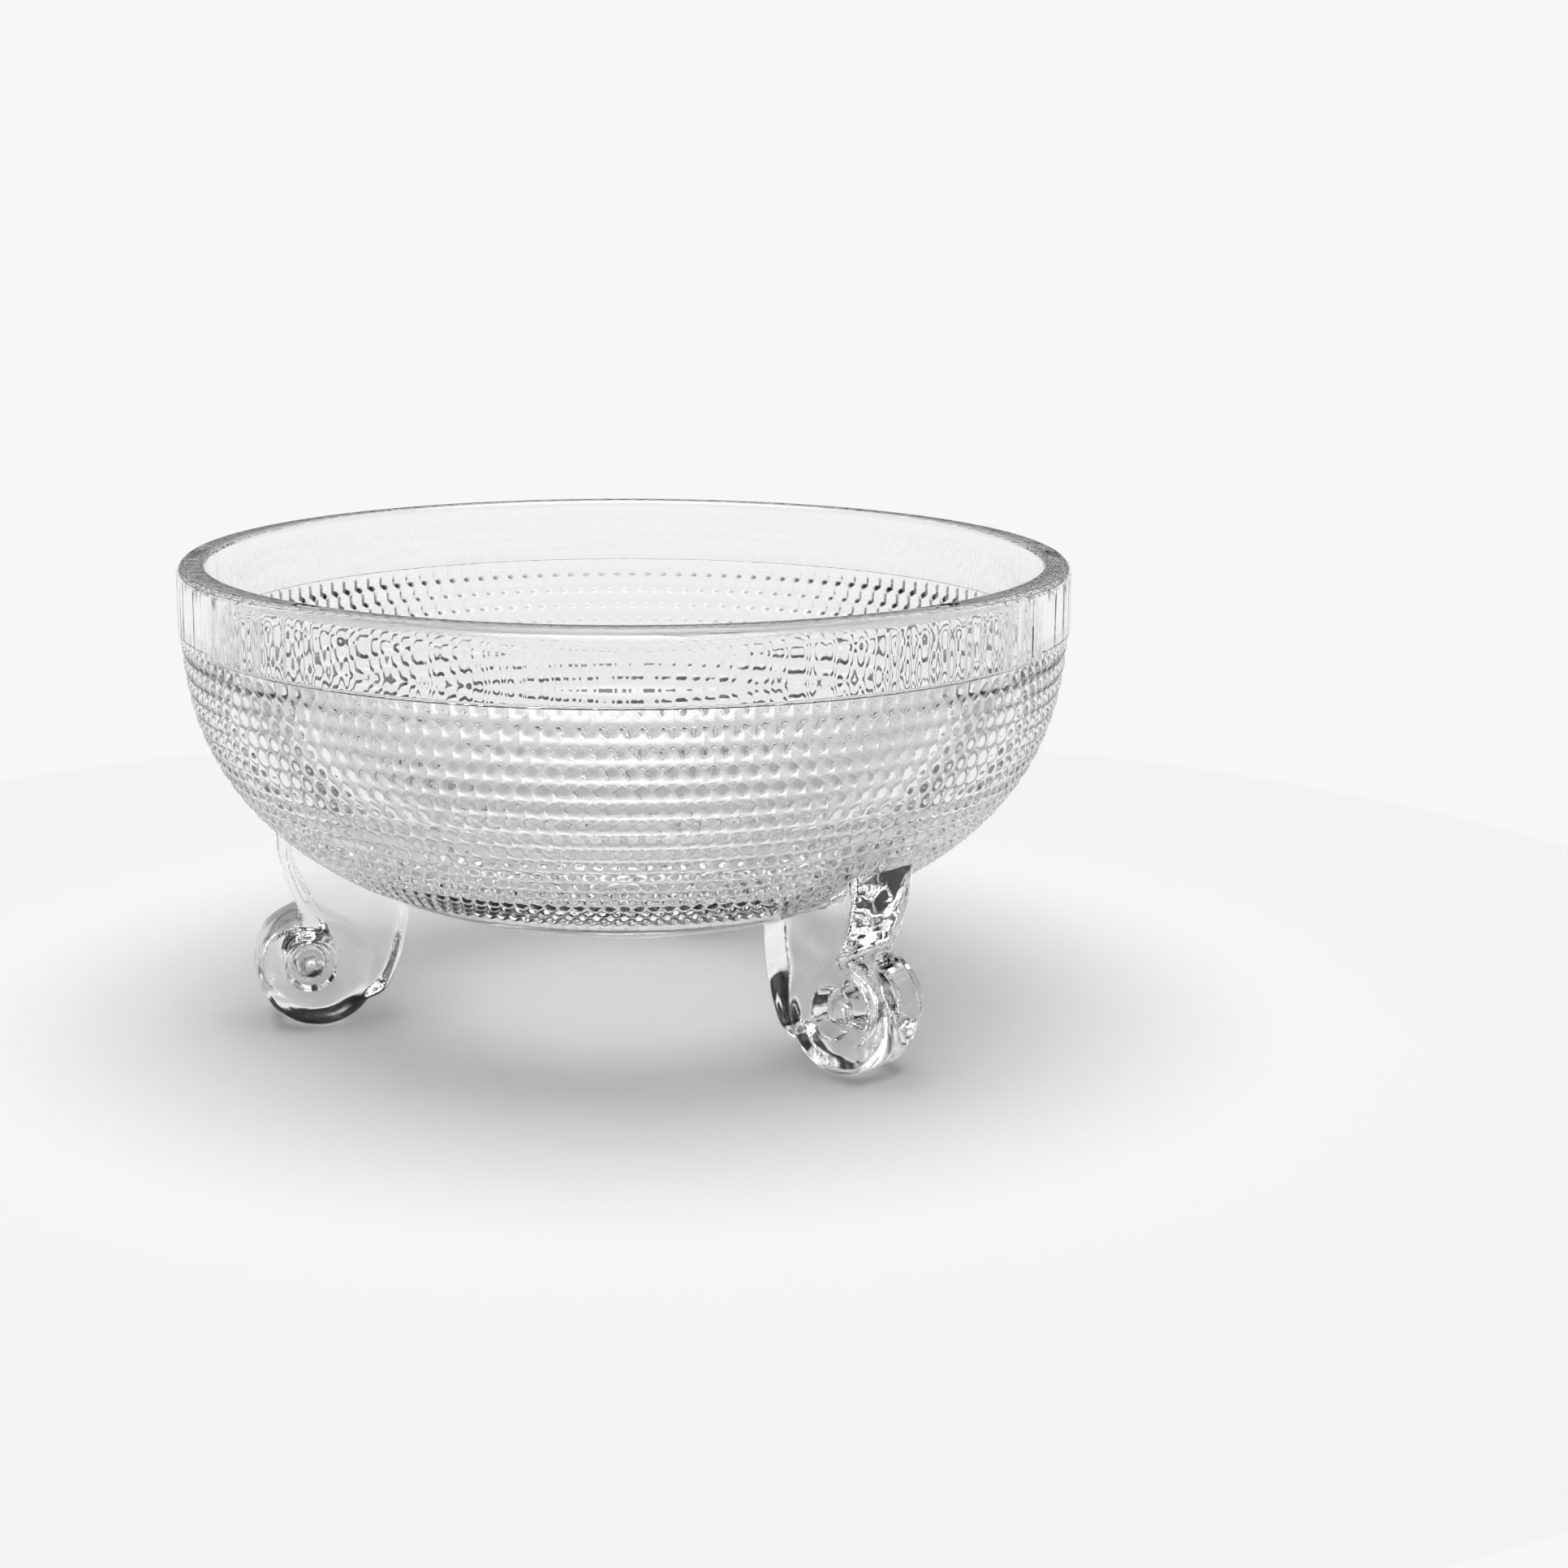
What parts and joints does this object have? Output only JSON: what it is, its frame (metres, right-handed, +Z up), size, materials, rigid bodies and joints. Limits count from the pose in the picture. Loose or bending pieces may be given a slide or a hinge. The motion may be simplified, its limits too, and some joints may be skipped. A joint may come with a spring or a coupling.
{
  "type": "punch bowl",
  "caption": "Round footed punch bowl in clear pressed glass: plain banded rim, beaded wall and scroll feet.",
  "frame": {"origin": "on the table under the middle of the bowl", "axes": "+Z up along the bowl's axis; one foot points along +Y, the other two at 120 degrees to it"},
  "size_m": [0.3, 0.3, 0.1565],
  "materials": {
    "bowl_glass": "clear fire-polished pressed glass",
    "foot_glass": "clear fire-polished pressed glass, ground flat underneath"
  },
  "bodies": {
    "root": {"bowl": "bowl_glass", "foot_left": "foot_glass", "foot_rear": "foot_glass", "foot_right": "foot_glass"}
  },
  "joints": []
}
